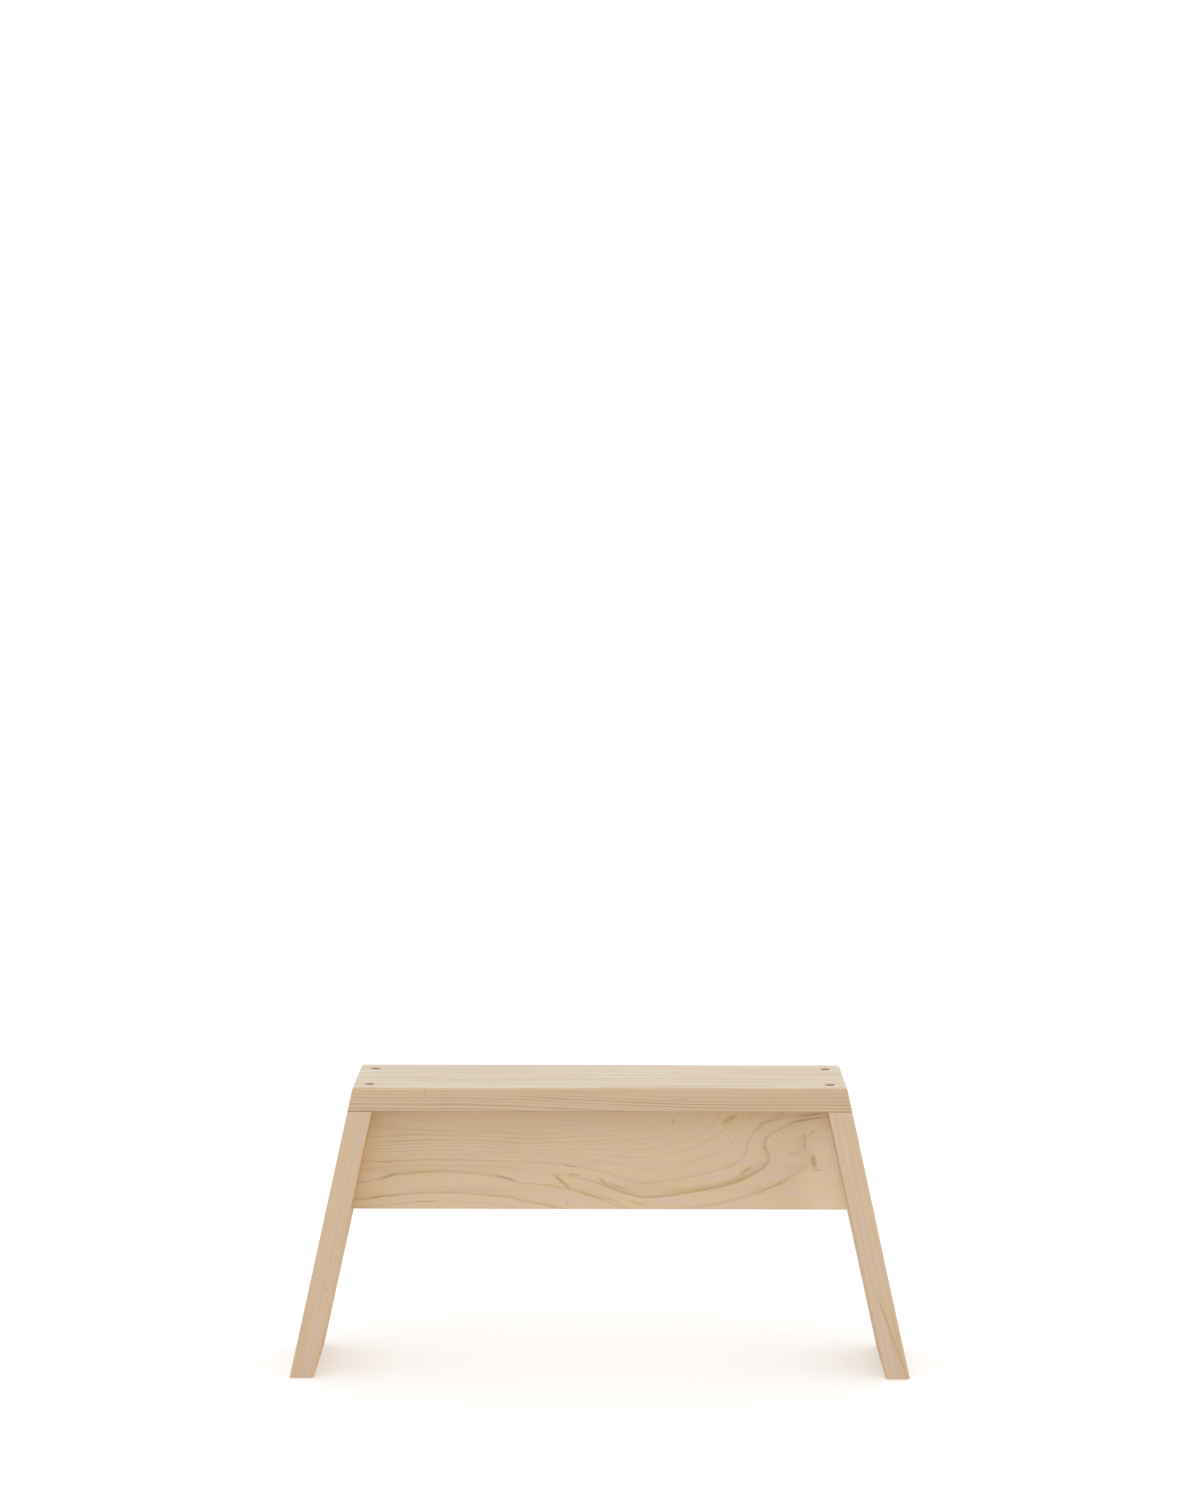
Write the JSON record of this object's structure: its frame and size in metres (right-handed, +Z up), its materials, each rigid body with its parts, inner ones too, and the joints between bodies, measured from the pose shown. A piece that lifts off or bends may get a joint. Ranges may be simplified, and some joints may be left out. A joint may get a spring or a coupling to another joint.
{
  "type": "plank stool",
  "caption": "Low rigid stool of pale softwood boards: a flat seat screwed to splayed plank legs, with a trapezoid apron braced between them.",
  "frame": {"origin": "on the floor under the middle of the stool", "axes": "+Z up, +X along the seat to the right as pictured, -Y towards the viewer"},
  "size_m": [0.4992, 0.089, 0.238],
  "materials": {
    "seat_wood": "planed and sanded, unvarnished",
    "leg_wood": "planed and sanded, unvarnished",
    "apron_wood": "planed and sanded, unvarnished",
    "screw_metal": "dark bronze plated"
  },
  "bodies": {
    "root": {"seat_board": "seat_wood", "left_leg": "leg_wood", "right_leg": "leg_wood", "apron": "apron_wood", "seat_screw_left_front": "screw_metal", "seat_screw_left_back": "screw_metal", "seat_screw_right_front": "screw_metal", "seat_screw_right_back": "screw_metal", "apron_screw_left_upper": "screw_metal", "apron_screw_left_lower": "screw_metal", "apron_screw_right_upper": "screw_metal", "apron_screw_right_lower": "screw_metal"}
  },
  "joints": []
}
